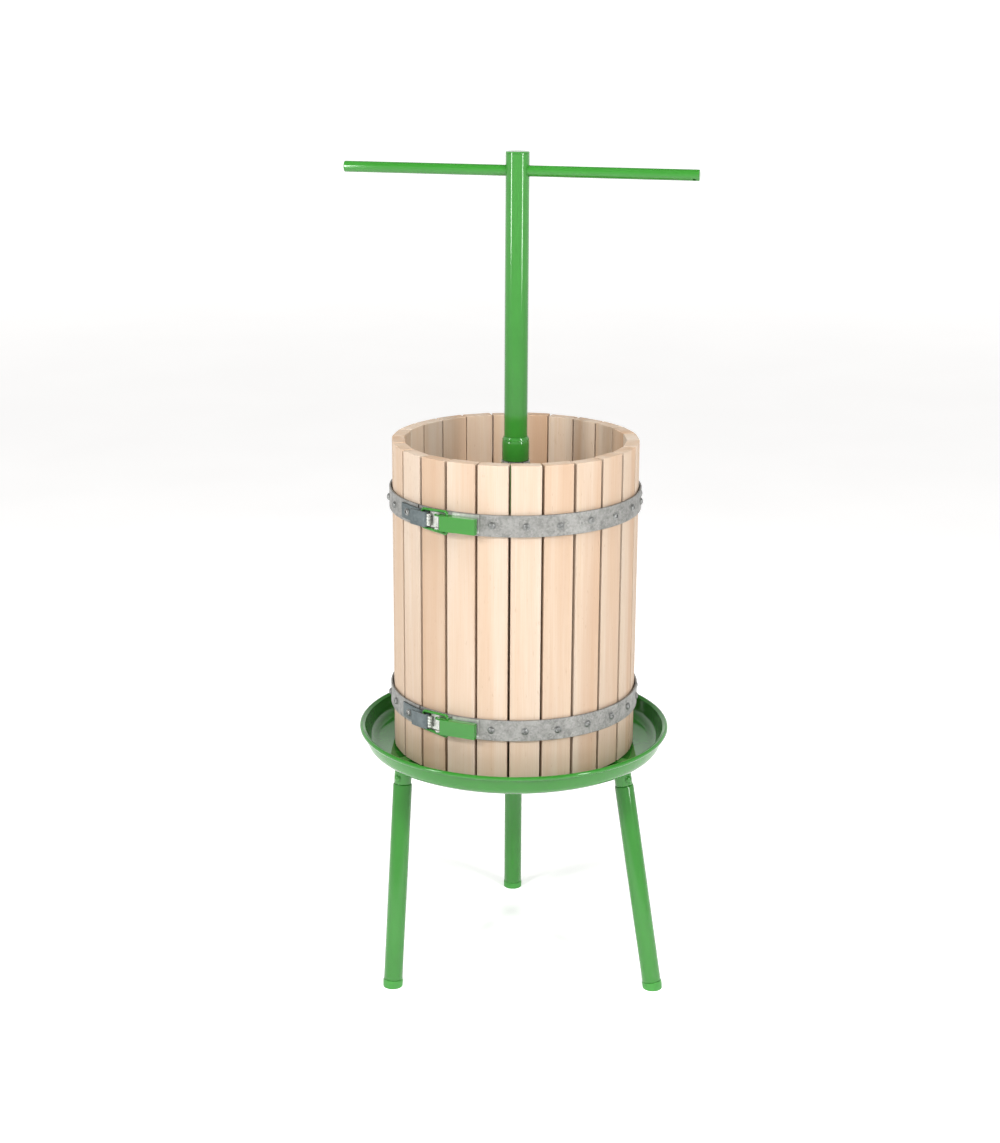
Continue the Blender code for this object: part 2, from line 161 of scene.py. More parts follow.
def turned(profile, sides=64, closed=True):
    """A profile of (radius, height) points turned about Z."""
    bm = bmesh.new()
    verts = [bm.verts.new((radius, 0.0, height)) for radius, height in profile]
    pairs = list(zip(verts, verts[1:]))
    if closed:
        pairs.append((verts[-1], verts[0]))
    edges = [bm.edges.new(pair) for pair in pairs]
    bmesh.ops.spin(
        bm, geom=verts + edges, cent=(0, 0, 0), axis=(0, 0, 1),
        angle=2 * math.pi, steps=sides, use_merge=True,
    )
    bmesh.ops.remove_doubles(bm, verts=bm.verts, dist=1e-6)
    bmesh.ops.recalc_face_normals(bm, faces=bm.faces)
    return bm


def rounded(points, steps=5):
    """A smooth curve through the given points (Catmull-Rom), ends included."""
    knots = [Vector(p) for p in points]
    knots = [knots[0] * 2 - knots[1], *knots, knots[-1] * 2 - knots[-2]]
    made = []
    for a, b, c, d in zip(knots, knots[1:], knots[2:], knots[3:]):
        for i in range(steps):
            t = i / steps
            made.append(tuple(0.5 * (
                2 * b + (c - a) * t + (2 * a - 5 * b + 4 * c - d) * t ** 2
                + (3 * b - a - 3 * c + d) * t ** 3
            )))
    return made + [tuple(knots[-2])]


def strip(points, thickness):
    """The outline of a bent strip of sheet metal that follows the given centreline."""
    path = [Vector(p) for p in points]
    sides = []
    for index, point in enumerate(path):
        ahead = path[min(index + 1, len(path) - 1)]
        behind = path[max(index - 1, 0)]
        heading = (ahead - behind).normalized()
        sides.append(Vector((-heading.y, heading.x)) * thickness / 2)
    left = [tuple(p + s) for p, s in zip(path, sides)]
    right = [tuple(p - s) for p, s in zip(path, sides)]
    return left + right[::-1]


def swept(route, radius, sides=12, loop=False, rough=0.0, seed=0):
    """A round wire or bead along a route of 3-D points; rough varies its thickness."""
    points = [Vector(p) for p in route]
    count = len(points)
    bm = bmesh.new()
    rings = []
    side = None
    for index, point in enumerate(points):
        ahead = points[(index + 1) % count] if loop else points[min(index + 1, count - 1)]
        behind = points[index - 1] if loop or index else points[0]
        heading = (ahead - behind).normalized()
        if side is None:
            side = heading.orthogonal().normalized()
        side = (side - heading * side.dot(heading)).normalized()
        other = heading.cross(side)
        swell = 1.0 + rough * noise.noise(point * 260.0 + Vector((seed, 0.0, 0.0)))
        rings.append([
            bm.verts.new(
                point
                + (side * math.cos(a) + other * math.sin(a)) * radius * swell
            )
            for a in (2 * math.pi * k / sides for k in range(sides))
        ])
    joined = list(zip(rings, rings[1:] + ([rings[0]] if loop else [])))
    for first, second in joined:
        shift = 0
        if loop and second is rings[0]:
            shift = min(range(sides), key=lambda s: (first[0].co - second[s].co).length)
        for k in range(sides):
            bm.faces.new((
                first[k], first[(k + 1) % sides],
                second[(k + 1 + shift) % sides], second[(k + shift) % sides],
            ))
    if not loop:
        bm.faces.new(rings[0][::-1])
        bm.faces.new(rings[-1])
    bmesh.ops.recalc_face_normals(bm, faces=bm.faces)
    return bm


def merged(parts):
    """Several (bmesh, placing matrix) pairs as one bmesh."""
    whole = bmesh.new()
    for bm, place in parts:
        bm.transform(place)
        mesh = bpy.data.meshes.new("part")
        bm.to_mesh(mesh)
        bm.free()
        whole.from_mesh(mesh)
        bpy.data.meshes.remove(mesh)
    return whole


def solid(bm, operation, tools):
    """The bmesh after an exact Boolean with each (bmesh, placing matrix) tool."""
    def as_object(one, place=IDENTITY):
        mesh = bpy.data.meshes.new("solid")
        one.to_mesh(mesh)
        one.free()
        made = bpy.data.objects.new("solid", mesh)
        made.matrix_world = place
        bpy.context.scene.collection.objects.link(made)
        return made

    body = as_object(bm)
    helpers = [as_object(tool, place) for tool, place in tools]
    for helper in helpers:
        step = body.modifiers.new("cut", "BOOLEAN")
        step.operation = operation
        step.object = helper
    bpy.context.view_layer.update()
    graph = bpy.context.evaluated_depsgraph_get()
    mesh = bpy.data.meshes.new_from_object(body.evaluated_get(graph))
    result = bmesh.new()
    result.from_mesh(mesh)
    for used in (body, *helpers):
        bpy.data.objects.remove(used)
    return result


def piece(name, bm, body, look, hides=(), place=IDENTITY, bevel=0.0, tone=0.5, shift=0.0, angle=32):
    """A finished piece of the press that rides on a body and stands for the CAD nodes it hides."""
    local = bm.verts.layers.float_vector.new("local")
    shade = bm.verts.layers.float.new("tone")
    for vert in bm.verts:
        vert[local] = vert.co + Vector((shift, shift * 0.37, shift * 0.61))
        vert[shade] = tone
    bm.transform(place)
    mesh = bpy.data.meshes.new(name)
    bm.to_mesh(mesh)
    bm.free()
    mesh.shade_smooth()
    made = bpy.data.objects.new(name, mesh)
    bpy.context.scene.collection.objects.link(made)
    if bevel:
        soft = made.modifiers.new("edges", "BEVEL")
        soft.width = bevel
        soft.segments = 2
        soft.limit_method = "ANGLE"
        soft.angle_limit = math.radians(angle)
        soft.harden_normals = True
    else:
        mesh.set_sharp_from_angle(angle=math.radians(angle))
    mesh.materials.append(look)
    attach(made, body)
    if hides:
        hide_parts(*hides)
    return made


# ---------------------------------------------------------------- materials
class Shader:
    """A Principled material under construction, with short calls for its nodes."""

    def __init__(self, name, slot, **values):
        self.material = bpy.data.materials.new(name)
        self.material.use_nodes = True
        self.material["slot"] = slot
        self.tree = self.material.node_tree
        self.surface = self.tree.nodes["Principled BSDF"]
        for socket, value in values.items():
            self.surface.inputs[socket.replace("_", " ")].default_value = value

    def node(self, kind, links=None, **settings):
        made = self.tree.nodes.new(kind)
        for key, value in settings.items():
            if key in made.bl_rna.properties:
                setattr(made, key, value)
            else:
                made.inputs[key].default_value = value
        for socket, source in (links or {}).items():
            self.tree.links.new(source, made.inputs[socket])
        return made

    def place(self, attribute=None, scale=(1.0, 1.0, 1.0)):
        """Texture coordinates in metres: the piece's own, or the press's where none are named."""
        if attribute:
            source = self.node("ShaderNodeAttribute", attribute_name=attribute).outputs["Vector"]
        else:
            source = self.node("ShaderNodeTexCoord").outputs["Object"]
        return self.node("ShaderNodeMapping", {"Vector": source}, Scale=scale).outputs["Vector"]

    def noise(self, vector, scale, detail=3.0, roughness=0.5, distortion=0.0):
        made = self.node(
            "ShaderNodeTexNoise", {"Vector": vector},
            Scale=scale, Detail=detail, Roughness=roughness, Distortion=distortion,
        )
        return made.outputs["Fac"]

    def ramp(self, source, *stops):
        """A colour ramp of (position, grey value or colour) stops."""
        made = self.node("ShaderNodeValToRGB", {"Fac": source})
        while len(made.color_ramp.elements) < len(stops):
            made.color_ramp.elements.new(0.5)
        for element, (position, colour) in zip(made.color_ramp.elements, stops):
            element.position = position
            grey = isinstance(colour, (int, float))
            element.color = (colour, colour, colour, 1.0) if grey else (*colour, 1.0)
        return made.outputs["Color"]

    def mix(self, share, first, second, blend="MIX"):
        made = self.tree.nodes.new("ShaderNodeMix")
        made.data_type = "RGBA"
        made.blend_type = blend
        for socket, value in ((0, share), (6, first), (7, second)):
            if isinstance(value, bpy.types.NodeSocket):
                self.tree.links.new(value, made.inputs[socket])
            elif socket == 0:
                made.inputs[0].default_value = value
            else:
                made.inputs[socket].default_value = (*value, 1.0)
        return made.outputs[2]

    def feed(self, socket, source):
        self.tree.links.new(source, self.surface.inputs[socket])

    def bump(self, *layers):
        """Height layers of (source, strength, distance in metres), one on top of the other."""
        below = None
        for source, strength, distance in layers:
            links = {"Height": source}
            if below:
                links["Normal"] = below
            step = self.node("ShaderNodeBump", links, Strength=strength, Distance=distance)
            below = step.outputs["Normal"]
        self.feed("Normal", below)


def paint_look():
    """Glossy green enamel: a faint orange peel, slight unevenness and a few dull, dusty patches."""
    shader = Shader(
        "green_enamel", "green_paint", Specular_IOR_Level=0.42, Coat_Weight=0.20, Coat_Roughness=0.03,
    )
    place = shader.place()
    cloudy = shader.noise(place, 9.0, 4.0)
    colour = shader.ramp(cloudy, (0.30, (0.022, 0.156, 0.016)), (0.70, (0.028, 0.178, 0.021)))
    specks = shader.ramp(shader.noise(place, 420.0, 2.0), (0.74, 0.0), (0.80, 1.0))
    colour = shader.mix(specks, colour, (0.018, 0.140, 0.015))
    shader.feed("Base Color", colour)
    shader.feed("Roughness", shader.ramp(shader.noise(place, 26.0, 5.0), (0.3, 0.08), (0.75, 0.15)))
    peel = shader.noise(place, 330.0, 2.0)
    waves = shader.noise(place, 45.0, 2.0)
    shader.bump((waves, 0.05, 0.0015), (peel, 0.06, 0.0004))
    return shader.material


def wood_look(name, slot, pale, warm, brown):
    """Planed beech: long streaks, fine fibres and the short dark flecks of its rays."""
    shader = Shader(name, slot, Roughness=0.62, Specular_IOR_Level=0.32)
    grain = shader.place("local", (1.0, 1.0, 0.045))
    streaks = shader.noise(grain, 42.0, 3.0, 0.55, 0.6)
    bands = shader.noise(grain, 13.0, 2.0, 0.5, 1.1)
    fibres = shader.noise(shader.place("local", (1.0, 1.0, 0.012)), 900.0, 4.0, 0.65)
    rays = shader.noise(shader.place("local", (1.0, 1.0, 0.16)), 620.0, 1.0, 0.4)
    tone = shader.node("ShaderNodeAttribute", attribute_name="tone").outputs["Fac"]

    colour = shader.ramp(streaks, (0.30, pale), (0.72, warm))
    heart = shader.ramp(bands, (0.46, 0.0), (0.72, 0.66))
    colour = shader.mix(heart, colour, brown)
    colour = shader.mix(shader.ramp(fibres, (0.35, 0.22), (0.62, 0.0)), colour, brown)
    flecks = shader.ramp(rays, (0.70, 0.0), (0.78, 0.30))
    colour = shader.mix(flecks, colour, tuple(channel * 0.62 for channel in brown))
    shaded = shader.ramp(tone, (0.0, (0.900, 0.830, 0.760)), (1.0, (1.0, 1.0, 1.0)))
    shader.feed("Base Color", shader.mix(1.0, colour, shaded, "MULTIPLY"))
    shader.feed("Roughness", shader.ramp(fibres, (0.3, 0.72), (0.7, 0.54)))
    shader.bump((streaks, 0.10, 0.0010), (fibres, 0.22, 0.0003), (rays, 0.10, 0.0002))
    return shader.material


def zinc_look(name, slot, dark, bright, spangle, metallic):
    """Galvanised steel: spangled crystals under streaks of grey bloom, and a few brown specks."""
    shader = Shader(name, slot, Metallic=metallic)
    place = shader.place()
    crystals = shader.node(
        "ShaderNodeTexVoronoi", {"Vector": place}, Scale=spangle, Randomness=1.0,
    )
    flake = shader.node("ShaderNodeRGBToBW", {"Color": crystals.outputs["Color"]}).outputs["Val"]
    colour = shader.ramp(flake, (0.1, dark), (0.9, bright))
    bloom = shader.ramp(shader.noise(place, 60.0, 5.0, 0.6), (0.42, 0.0), (0.68, 0.7))
    colour = shader.mix(bloom, colour, tuple(channel * 1.12 for channel in bright))
    grime = shader.ramp(shader.noise(place, 95.0, 6.0, 0.7), (0.52, 0.0), (0.72, 0.60))
    colour = shader.mix(grime, colour, tuple(channel * 0.55 for channel in dark))
    rust = shader.ramp(shader.noise(place, 240.0, 3.0, 0.6), (0.73, 0.0), (0.80, 0.6))
    shader.feed("Base Color", shader.mix(rust, colour, (0.20, 0.105, 0.055)))
    rough = shader.noise(place, 130.0, 4.0, 0.6)
    shader.feed("Roughness", shader.ramp(rough, (0.3, 0.34), (0.7, 0.58)))
    shader.bump((flake, 0.06, 0.0002), (rough, 0.12, 0.0004))
    return shader.material


def steel_look():
    """Turned steel: fine circular tool marks and a dull film of oil."""
    shader = Shader("turned_steel", "bare_steel", Metallic=1.0)
    place = shader.place()
    marks = shader.noise(shader.place(None, (1.0, 1.0, 30.0)), 120.0, 3.0)
    film = shader.noise(place, 70.0, 5.0, 0.65)
    shader.feed("Base Color", shader.ramp(film, (0.3, (0.24, 0.23, 0.22)), (0.7, (0.44, 0.43, 0.42))))
    shader.feed("Roughness", shader.ramp(film, (0.3, 0.28), (0.7, 0.46)))
    shader.bump((marks, 0.10, 0.0001))
    return shader.material


def plastic_look():
    """Moulded green plastic with a fine satin texture."""
    shader = Shader("cap_plastic", "cap_plastic", Specular_IOR_Level=0.4)
    place = shader.place()
    cloudy = shader.noise(place, 60.0, 3.0)
    green = shader.ramp(cloudy, (0.3, (0.036, 0.205, 0.030)), (0.7, (0.046, 0.240, 0.038)))
    shader.feed("Base Color", green)
    shader.feed("Roughness", shader.ramp(cloudy, (0.3, 0.42), (0.7, 0.55)))
    shader.bump((shader.noise(place, 1500.0, 2.0), 0.15, 0.0002))
    return shader.material


def floor_look():
    """The studio's matt white floor, which glows more the farther it is from the press."""
    shader = Shader(
        "studio_floor", "", Roughness=0.95, Specular_IOR_Level=0.0, Emission_Strength=1.0,
    )
    distance = shader.node("ShaderNodeVectorMath", operation="LENGTH")
    shader.tree.links.new(shader.place(None, (0.05, 0.05, 0.05)), distance.inputs[0])
    shader.feed("Emission Color", shader.ramp(distance.outputs["Value"], (0.12, 0.34), (0.45, 0.86)))
    cloudy = shader.noise(shader.place(), 3.0, 4.0)
    shader.feed("Base Color", shader.ramp(cloudy, (0.3, 0.90), (0.7, 0.93)))
    return shader.material


PAINT = paint_look()
BEECH = wood_look(
    "planed_beech", "slat_wood",
    pale=(0.505, 0.442, 0.376), warm=(0.480, 0.372, 0.280), brown=(0.395, 0.255, 0.160),
)
PLATE_BEECH = wood_look(
    "plate_beech", "plate_wood",
    pale=(0.500, 0.390, 0.285), warm=(0.440, 0.320, 0.215), brown=(0.330, 0.215, 0.130),
)
ZINC = zinc_look(
    "galvanised_strip", "galvanised",
    dark=(0.190, 0.190, 0.181), bright=(0.310, 0.308, 0.292), spangle=420.0, metallic=0.75,
)
DARK_ZINC = zinc_look(
    "pressed_zinc", "zinc_plate",
    dark=(0.100, 0.125, 0.128), bright=(0.140, 0.165, 0.170), spangle=260.0, metallic=0.8,
)
BRIGHT_ZINC = zinc_look(
    "bright_zinc", "zinc_plate",
    dark=(0.46, 0.47, 0.45), bright=(0.58, 0.60, 0.55), spangle=300.0, metallic=0.85,
)
SCREW_ZINC = zinc_look(
    "screw_zinc", "zinc_plate",
    dark=(0.19, 0.195, 0.19), bright=(0.30, 0.305, 0.295), spangle=300.0, metallic=0.85,
)
STEEL = steel_look()
PLASTIC = plastic_look()


# ---------------------------------------------------------------- pan and outlet
def make_pan():
    """The dished sheet with its rolled rim and raised ribs, and the outlet under it."""
    roll = 0.0028
    rib_count = 6
    rib_rise = 0.003
    bore = 0.0085
    wall = rounded([
        (0.1840, PAN_FLOOR), (0.1895, PAN_FLOOR + 0.0020), (0.1940, PAN_FLOOR + 0.0065),
        (0.1962, PAN_FLOOR + 0.0125), (0.1985, RIM_Z - 0.0022),
    ])
    bead = [
        (0.2027 + roll * math.cos(a), RIM_Z - roll + roll * math.sin(a))
        for a in (math.radians(150 - 24 * i) for i in range(13))
    ]
    outside = rounded([
        (0.2002, RIM_Z - 0.0060), (0.1982, PAN_FLOOR + 0.0118), (0.1955, PAN_FLOOR + 0.0045),
        (0.1905, PAN_FLOOR - 0.0004), (0.1850, PAN_BOTTOM),
    ])
    eye = SPINDLE_RADIUS + GAP
    profile = [(eye, PAN_FLOOR), *wall, *bead, *outside, (eye, PAN_BOTTOM)]
    outline = [
        (-0.0062, -0.046), (0.0, -0.043), (0.0062, -0.046), (0.0078, -0.150),
        (0.0072, -0.171), (0.0040, -0.178), (-0.0040, -0.178), (-0.0072, -0.171), (-0.0078, -0.150),
    ]
    ribs = [
        (prism(outline, PAN_FLOOR - 0.001, PAN_FLOOR + rib_rise, 0.97), turn(360.0 / rib_count * index))
        for index in range(rib_count)
    ]
    pan = solid(turned(profile, 144), "UNION", ribs)
    outlet = middle("outlet_pipe")
    hole = turned([(0.0, -0.01), (bore, -0.01), (bore, 0.01), (0.0, 0.01)], 40, False)
    drain = Matrix.Translation((outlet.x, outlet.y, PAN_FLOOR))
    pan = solid(pan, "DIFFERENCE", [(hole, drain)])
    piece("pan_sheet", pan, "stand", PAINT, ["pan"])

    top = high("outlet_pipe").z
    end = low("outlet_pipe").z
    pipe = turned([
        (bore, top), (0.0150, top), (0.0150, top - 0.0014), (0.0128, top - 0.0030),
        (0.0112, top - 0.0052), (0.0107, top - 0.0080), (0.0107, end + 0.0008),
        (0.0101, end), (0.0089, end), (bore, end + 0.0006),
    ], 48)
    piece(
        "outlet_spigot", pipe, "stand", PAINT, ["outlet_pipe"],
        Matrix.Translation((outlet.x, outlet.y, 0.0)),
    )


# ---------------------------------------------------------------- legs
def weld_bead(radius, thickness, seed, count=120):
    """An uneven ring of weld around Z."""
    route = []
    for index in range(count):
        angle = 2 * math.pi * index / count
        ripple = 0.00035 * math.sin(angle * 17 + seed)
        drift = 0.0006 * noise.noise(Vector((math.cos(angle) * 2, math.sin(angle) * 2, seed)))
        spread = radius + ripple * 0.6
        route.append((spread * math.cos(angle), spread * math.sin(angle), drift + ripple))
    return swept(route, thickness, 10, True, 0.7, seed)


def bolt_head(radius, height):
    """A domed cap head on a thin washer face."""
    dome = [
        (radius * math.cos(a), height * 0.25 + height * 0.75 * math.sin(a))
        for a in (math.radians(9 * i) for i in range(11))
    ]
    return turned([(0.0, 0.0), (radius * 1.12, 0.0), (radius * 1.12, height * 0.2), *dome], 32, False)


def make_leg(side, azimuth):
    """A leg's tube with its necked top, the welded and bolted stub above it, and its foot."""
    top = polar(LEG_SPREAD, azimuth, LEG_TOP)
    foot = FEET[f"foot_{side}"]
    up = along(foot, top)
    length = (top - foot).length
    plug = 0.010
    tube = turned([
        (LEG_BORE, plug + GAP), (LEG_RADIUS - 0.0004, plug + GAP), (LEG_RADIUS, plug + 0.0008),
        (LEG_RADIUS, length - 0.0016), (LEG_RADIUS - 0.0005, length - 0.0004),
        (0.0113, length), (0.0100, length - 0.0002), (0.0094, length + 0.001),
        (0.0092, length + 0.022), (0.0, length + 0.022), (0.0, length - 0.020),
        (LEG_BORE, length - 0.022),
    ], 48)
    piece(f"leg_tube_{side}", tube, "stand", PAINT, [f"leg_{side}"], up)

    stub = turned([
        (0.0096, length + 0.0008), (0.0104, length + 0.0003), (0.0113, length + 0.0008),
        (STUB_RADIUS, length + 0.0016), (STUB_RADIUS, length + 0.040), (0.0096, length + 0.040),
    ], 48)
    above = prism(circle(0.03, 12), PAN_BOTTOM - GAP, RIM_Z + 0.05)
    sky = up.inverted() @ Matrix.Translation((top.x, top.y, 0.0))
    outwards = up.to_3x3().inverted() @ polar(1.0, azimuth * 0.6, 0.0)
    outwards = Vector((outwards.x, outwards.y, 0.0)).normalized()
    level = Vector((0.0, 0.0, length + 0.009))
    bolt = bolt_head(0.0044, 0.0036)
    bolt.transform(Matrix.Translation((0.0, 0.0, 0.0110)))
    stub = solid(stub, "DIFFERENCE", [(above, sky)])
    stub = solid(stub, "UNION", [(bolt, along(level, level + outwards))])
    piece(f"leg_stub_{side}", stub, "stand", PAINT, [f"leg_socket_{side}"], up)

    lean = (top - foot).normalized()
    joint = top + lean * ((PAN_BOTTOM - 0.0014 - top.z) / lean.z)
    bead = weld_bead(0.0122, 0.0013, 3.0 + azimuth)
    piece(f"leg_weld_{side}", bead, "stand", PAINT, (), Matrix.Translation(joint))

    cap = turned([
        (0.0, -0.006), (0.0105, -0.006), (0.0128, -0.0005), (0.0130, plug - 0.0022),
        (0.0127, plug - 0.0006), (0.0121, plug), (0.0100, plug), (0.0098, plug + 0.012),
        (0.0, plug + 0.012),
    ], 48, False)
    ground = prism(circle(0.03, 12), -0.03, 0.0)
    earth = up.inverted() @ Matrix.Translation((foot.x, foot.y, 0.0))
    cap = solid(cap, "DIFFERENCE", [(ground, earth)])
    piece(f"leg_foot_{side}", cap, "stand", PLASTIC, [f"leg_cap_{side}"], up)


# ---------------------------------------------------------------- basket
def make_slats():
    """The ring of slats, each with its own small errors of width, height and place."""
    chance = random.Random(7)
    pitch = 360.0 / SLAT_COUNT
    half = math.radians(pitch / 2)
    crown = 0.0004
    snug = 0.0005
    for index in range(SLAT_COUNT):
        trim = chance.uniform(-0.00035, 0.00030)
        outer = BASKET_RADIUS * math.sin(half) - SLAT_GAP / 2 + trim
        face = BASKET_RADIUS * math.cos(half) - chance.uniform(0.0, 0.0006)
        back = face - SLAT_THICKNESS + chance.uniform(0.0, 0.0008)
        inner = back * math.tan(half) - INNER_GAP / 2 + trim
        if index in (0, SLAT_COUNT - 1):
            inner += snug
        outline = [
            (-outer, -face), (-outer / 2, -face - crown * 0.75), (0.0, -face - crown),
            (outer / 2, -face - crown * 0.75), (outer, -face),
            (inner, -back), (-inner, -back),
        ]
        lift = chance.uniform(0.0, 0.0009)
        slat = prism(outline, SLAT_LOW, SLAT_HIGH - lift)
        place = turn(FIRST_GAP + pitch * (index + 0.5) + chance.uniform(-0.07, 0.07))
        piece(
            f"stave_{index + 1:02d}", slat, "basket", BEECH, [f"slat_{index + 1:02d}"], place,
            bevel=0.0009, tone=chance.uniform(0.15, 1.0), shift=chance.uniform(-8.0, 8.0),
        )


def screw_head(chance):
    """A domed zinc screw with a cross recess on a thin pressed washer."""
    radius = 0.0043
    dome = [
        (radius * math.cos(a), 0.0008 + 0.0023 * math.sin(a))
        for a in (math.radians(11.25 * i) for i in range(9))
    ]
    head = turned([(0.0, -0.0008), (0.0049, -0.0008), (0.0048, 0.0005), (radius, 0.0007), *dome], 28, False)
    angle = chance.uniform(0.0, 90.0)
    slots = []
    for extra in (0.0, 90.0):
        bar = [(-0.0026, -0.00048), (0.0026, -0.00048), (0.0026, 0.00048), (-0.0026, 0.00048)]
        slots.append((prism(bar, 0.0018, 0.006), turn(angle + extra)))
    return solid(head, "DIFFERENCE", slots)


def make_hoop(level, number):
    """A hoop's two halves with a screw in every slat that the clasp leaves free."""
    clasp_start, clasp_end = -50.0, -20.0
    hook_start = -61.0
    hook_rise = 0.0020
    chance = random.Random(40 + number)
    centre = LEVELS[level]
    bottom, top = centre - HOOP_HALF, centre + HOOP_HALF
    spans = {"right": (SPLIT + 0.35, HINGE - 0.7), "left": (SPLIT - 0.35, HINGE - 359.3)}
    pitch = 360.0 / SLAT_COUNT
    for side, (start, end) in spans.items():
        band = prism(arc(HOOP_OUTER, start, end) + arc(HOOP_INNER, end, start), bottom, top)
        piece(f"band_{level}_{side}", band, "basket", ZINC, [f"hoop_{level}_{side}"], bevel=0.0005)
        heads = []
        for index in range(SLAT_COUNT):
            azimuth = (FIRST_GAP + pitch * (index + 0.5) - SPLIT) % 360.0 + SPLIT
            if (azimuth < HINGE) != (side == "right"):
                continue
            folded = azimuth if azimuth < HINGE else azimuth - 360.0
            if clasp_start < folded < clasp_end:
                continue
            on_hook = hook_start <= folded <= clasp_end
            rest = HOOP_OUTER + hook_rise if on_hook else HOOP_OUTER
            wander = chance.uniform(-0.0012, 0.0012)
            heads.append((screw_head(chance), facing(azimuth, rest, centre + wander)))
        piece(f"screws_{level}_{side}", merged(heads), "basket", SCREW_ZINC)


def make_hinge(level):
    """Two leaves with curled knuckles on one pin, behind the basket."""
    centre = LEVELS[level]
    radius = 0.0040
    sheet = 0.0015
    pin = middle(f"hinge_pin_{level}")
    out = Vector(polar(1.0, HINGE))
    sideways = Vector((-out.y, out.x))
    spot = Vector((pin.x, pin.y))
    ears = {
        "right": [(centre - HOOP_HALF, centre - 0.0053), (centre + 0.0053, centre + HOOP_HALF)],
        "left": [(centre - 0.0050, centre + 0.0050)],
    }
    for side, lean in (("right", -1), ("left", 1)):
        leaf = arc(HOOP_OUTER + sheet / 2 + GAP, HINGE + lean * 9.0, HINGE + lean * 1.2)
        curl = []
        for step in range(26):
            angle = math.radians(-4 + 11.6 * step)
            swing = sideways * math.sin(angle) * -lean - out * math.cos(angle)
            curl.append(tuple(spot + swing * radius))
        parts = [(prism(strip(leaf + curl, sheet), *ear), IDENTITY) for ear in ears[side]]
        piece(f"hinge_leaf_{level}_{side}", merged(parts), "basket", ZINC, bevel=0.0002, angle=50)
    foot, head = low(f"hinge_pin_{level}").z, high(f"hinge_pin_{level}").z
    bar = turned([
        (0.0, foot), (0.0016, foot), (0.0022, foot + 0.0008), (0.0022, head - 0.0024),
        (0.0040, head - 0.0024), (0.0041, head - 0.0014), (0.0034, head - 0.0004), (0.0, head),
    ], 24, False)
    piece(
        f"hinge_rod_{level}", bar, "basket", STEEL, [f"hinge_pin_{level}"],
        Matrix.Translation((pin.x, pin.y, 0.0)),
    )


# ---------------------------------------------------------------- clasps
SEAT = HOOP_OUTER + GAP
PLATE = 0.0017
PIVOT_AZIMUTH = -33.5
PIVOT_DISTANCE = 0.1715
LEVER_TILT = 10.1
LEVER_LENGTH = 0.052
BASE_SPAN = (-39.5, -15.5)
BASE_TOP = 0.0130
LEVER_HALF = 0.0098
CRANK = 0.012
CATCH = (0.1671, -43.5)


def make_hook(level):
    """A pressed plate on the hoop's left half whose end folds back over the wire."""
    centre = LEVELS[level]
    bend_azimuth = -41.4
    room = 0.0065
    fold = (room + PLATE) / 2
    inner = SEAT + PLATE / 2
    knee = Vector(polar(inner + fold, bend_azimuth))
    out = Vector(polar(1.0, bend_azimuth))
    ahead = Vector((-out.y, out.x))
    bend = []
    for step in range(1, 12):
        angle = math.radians(-90 + 15 * step)
        bend.append(tuple(knee + ahead * math.cos(angle) * fold + out * math.sin(angle) * fold))
    path = arc(inner, -60.0, bend_azimuth) + bend + arc(inner + 2 * fold, bend_azimuth, -49.0)
    plate = prism(strip(path, PLATE), centre - LEVER_HALF, centre + LEVER_HALF)
    piece(f"hook_plate_{level}", plate, "basket", DARK_ZINC, [f"clasp_hook_{level}"], bevel=0.0004, angle=40)


def make_bracket(level):
    """The lever's base: a bright plate along the hoop, a curled end, two ears and the pivot pin."""
    centre = LEVELS[level]
    start, end = BASE_SPAN
    tab_start = -28.0
    ear_radius = 0.0046
    ear_sheet = 0.0016
    flat = arc(SEAT, start, end) + arc(SEAT + PLATE, end, start)
    base = prism(flat, centre - LEVER_HALF, centre + LEVER_HALF)
    tab = prism(arc(SEAT, tab_start, end) + arc(SEAT + PLATE, end, tab_start), centre, centre + BASE_TOP)
    base = solid(base, "UNION", [(tab, IDENTITY)])
    piece(f"clasp_base_{level}", base, "basket", BRIGHT_ZINC, (), bevel=0.0004)
    pivot = polar(PIVOT_DISTANCE, PIVOT_AZIMUTH, centre)
    mount = Matrix.Translation(pivot) @ turn(PIVOT_AZIMUTH)
    foot = PIVOT_DISTANCE - SEAT - PLATE / 2
    ear = [(-0.0065, foot), (0.0065, foot), (ear_radius, 0.0014)]
    ear += circle(ear_radius, 14, (0.0, 0.0), 0.0, -math.pi)[1:]
    ear += [(-ear_radius, 0.0), (-ear_radius, 0.0014)]
    inside = LEVER_HALF - 0.0015
    ears = [(prism(ear, z, z + ear_sheet), mount) for z in (inside - ear_sheet, -inside)]
    piece(f"clasp_ears_{level}", merged(ears), "basket", BRIGHT_ZINC, (), bevel=0.0002)
    reach = LEVER_HALF + 0.0006
    pin = turned([
        (0.0, -reach), (0.0016, -reach), (0.0020, 0.0004 - reach), (0.0020, reach - 0.0004),
        (0.0016, reach), (0.0, reach),
    ], 20, False)
    piece(f"clasp_pin_{level}", pin, "basket", BRIGHT_ZINC, [f"clasp_bracket_{level}"], mount)
    barrel = []
    for index in range(4):
        z = -0.0076 + 0.0038 * index
        barrel += [
            (0.0026, z), (0.0031, z + 0.0006), (0.0033, z + 0.0019), (0.0031, z + 0.0032),
        ]
    barrel = [(0.0, barrel[0][1]), *barrel, (0.0026, 0.0076), (0.0, 0.0076)]
    piece(
        f"clasp_curl_{level}", turned(barrel, 24, False), "basket", BRIGHT_ZINC, (),
        Matrix.Translation(polar(SEAT + PLATE + 0.0034, -39.2, centre)),
    )


